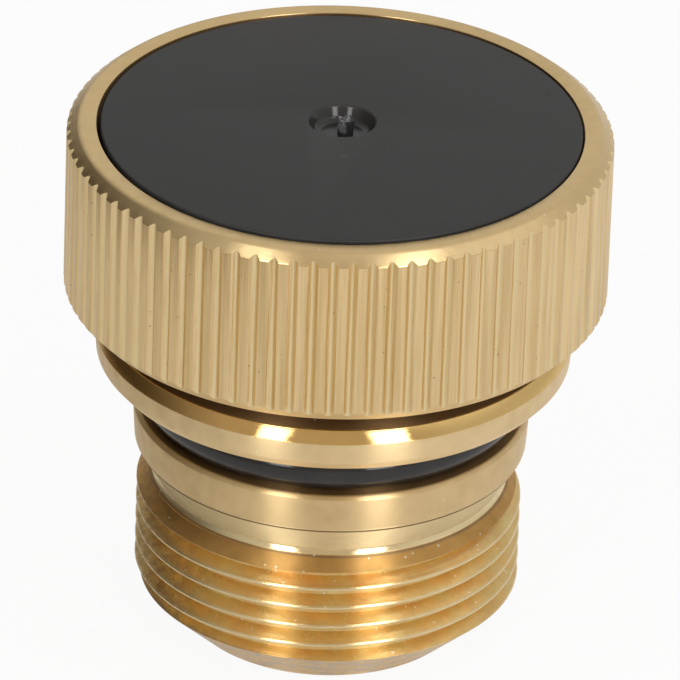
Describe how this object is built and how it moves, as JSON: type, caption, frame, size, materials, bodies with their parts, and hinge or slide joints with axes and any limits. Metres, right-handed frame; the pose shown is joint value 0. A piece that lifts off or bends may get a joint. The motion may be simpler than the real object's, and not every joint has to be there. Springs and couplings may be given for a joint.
{
  "type": "threaded drain plug",
  "caption": "Screw-in brass drain plug with a knurled thumb head, a seating collar, a rubber sealing ring in a groove and a black plastic disc let into the head.",
  "frame": {"origin": "centre of the flat end face below the thread, which the plug stands on", "axes": "+Z along the turning axis from the end face to the head, X and Y across it with a knurl groove centred on +X and on -Y"},
  "size_m": [0.0378, 0.0378, 0.0383],
  "materials": {
    "turned_brass": "bright turned brass with fine tool lines, unplated",
    "black_plastic": "matte moulded plastic, faintly mottled",
    "black_rubber": "smooth black nitrile rubber with a dull shine"
  },
  "bodies": {
    "root": {"plug_body": "turned_brass", "head_insert": "black_plastic", "o_ring": "black_rubber"}
  },
  "joints": []
}
